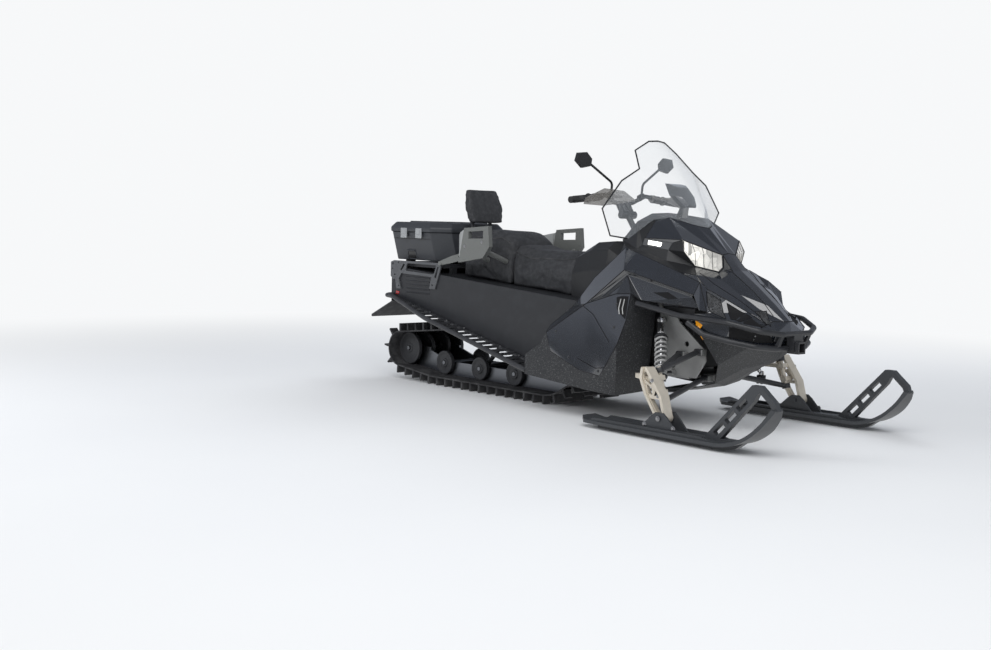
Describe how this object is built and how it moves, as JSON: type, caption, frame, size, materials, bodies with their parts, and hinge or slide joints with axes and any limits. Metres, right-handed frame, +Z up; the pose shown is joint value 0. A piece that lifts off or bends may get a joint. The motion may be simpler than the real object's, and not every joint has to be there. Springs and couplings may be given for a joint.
{
  "type": "utility snowmobile",
  "caption": "Utility snowmobile for two riders, with steered skis, a rubber track, a windshield, a rear rack and a lidded cargo box.",
  "frame": {"origin": "on the floor under the middle of the machine's length and width", "axes": "+X forward, +Y to the rider's left, +Z up"},
  "size_m": [3.2, 1.222, 1.385],
  "materials": {
    "track_rubber": "moulded rubber",
    "skid_alloy": "anodised",
    "wheel_black": "moulded",
    "dark_steel": "satin black",
    "tunnel_dark": "satin black",
    "board_dark": "satin dark grey",
    "ski_plastic": "moulded, slightly grained",
    "champagne_cast": "satin, cast",
    "shock_alloy": "polished body",
    "frame_grey": "satin light grey",
    "body_gloss": "high gloss",
    "body_matt": "grained",
    "belly_matt": "coarse grain",
    "lamp_clear": "clear lens",
    "lamp_white": "lit lens",
    "lamp_red": "moulded lens",
    "screen_clear": "clear polycarbonate",
    "display_black": "gloss",
    "seat_vinyl": "grained vinyl",
    "guard_grey": "grained",
    "engine_grey": "cast",
    "bumper_black": "satin powder coat",
    "grip_rubber": "soft",
    "guard_smoke": "smoke-tinted, translucent",
    "box_charcoal": "grained",
    "flap_rubber": "moulded"
  },
  "bodies": {
    "chassis": {"track": "track_rubber", "skid_rails": "skid_alloy", "track_wheels": "wheel_black", "drive_axle": "dark_steel", "skid_arms": "dark_steel", "tunnel": "tunnel_dark", "running_boards": "board_dark", "suspension_arms": "dark_steel", "front_shocks": "shock_alloy", "subframe": "frame_grey", "side_panels": "body_gloss", "side_bands": "body_gloss", "side_recesses": "body_matt", "footwells": "belly_matt", "hood": "body_gloss", "nose": "body_gloss", "nose_belly": "belly_matt", "cowl": "body_gloss", "console": "body_matt", "headlights": "lamp_clear", "marker_lamps": "lamp_white", "windshield": "screen_clear", "display_pod": "display_black", "fuel_tank": "body_matt", "seats": "seat_vinyl", "backrest": "seat_vinyl", "passenger_guards": "guard_grey", "engine_block": "engine_grey", "front_bumper": "bumper_black", "rear_rack": "bumper_black", "cargo_box": "box_charcoal", "tail_lamp": "lamp_red", "tail_bumper": "bumper_black", "snow_flap": "flap_rubber"},
    "steering": {"handlebar": "dark_steel", "grips": "grip_rubber", "handguards": "guard_smoke", "mirrors": "body_matt"},
    "right_ski": {"ski_right": "ski_plastic", "spindle_right": "champagne_cast"},
    "left_ski": {"ski_left": "ski_plastic", "spindle_left": "champagne_cast"},
    "right_tie_rod": {"tie_rod_right": "dark_steel"},
    "left_tie_rod": {"tie_rod_left": "dark_steel"},
    "lid": {"cargo_lid": "box_charcoal"}
  },
  "joints": [
    {"name": "steering", "type": "hinge", "parent": "chassis", "child": "steering", "pos_m": [0.215, 0, 1.065], "axis": [-0.5736, 0, 0.8192], "range_deg": [-32, 32]},
    {"name": "right_ski_steer", "type": "hinge", "parent": "chassis", "child": "right_ski", "pos_m": [0.942, -0.475, 0.165], "axis": [-0.2924, 0, 0.9563], "range_deg": [-26, 26]},
    {"name": "left_ski_steer", "type": "hinge", "parent": "chassis", "child": "left_ski", "pos_m": [0.942, 0.475, 0.165], "axis": [-0.2924, 0, 0.9563], "range_deg": [-26, 26]},
    {"name": "right_tie_rod_slide", "type": "slide", "parent": "chassis", "child": "right_tie_rod", "axis": [0, 1, 0], "range_m": [-0.064, 0.064]},
    {"name": "left_tie_rod_slide", "type": "slide", "parent": "chassis", "child": "left_tie_rod", "axis": [0, 1, 0], "range_m": [-0.064, 0.064]},
    {"name": "lid_hinge", "type": "hinge", "parent": "chassis", "child": "lid", "pos_m": [-1.157, 0.289, 0.8895], "axis": [-1, 0, 0], "range_deg": [0, 100]}
  ],
  "couplings": [
    {"joint": "right_ski_steer", "follows": "steering", "ratio": 0.8},
    {"joint": "left_ski_steer", "follows": "steering", "ratio": 0.8},
    {"joint": "right_tie_rod_slide", "follows": "steering", "m_per_rad": -0.1135},
    {"joint": "left_tie_rod_slide", "follows": "steering", "m_per_rad": -0.1135}
  ]
}
